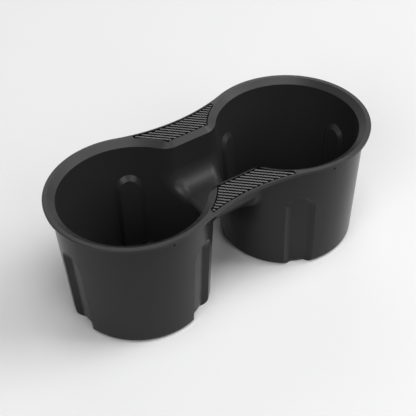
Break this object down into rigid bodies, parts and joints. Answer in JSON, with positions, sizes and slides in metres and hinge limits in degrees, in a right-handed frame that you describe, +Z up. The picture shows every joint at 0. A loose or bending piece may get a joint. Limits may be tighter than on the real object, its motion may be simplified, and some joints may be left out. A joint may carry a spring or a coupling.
{
  "type": "cup holder insert",
  "caption": "Moulded plastic insert with a pair of open cups under one thin lip, joined by a neck with textured grip pads and an open saddle between the cups.",
  "frame": {"origin": "midway between the axes of the cups, on the plane of their bases", "axes": "+X along the length through both cup axes, +Y across, +Z up out of the cup mouths"},
  "size_m": [0.184, 0.088, 0.0706],
  "materials": {
    "body": "matte"
  },
  "bodies": {
    "root": {"insert": "body"}
  },
  "joints": []
}
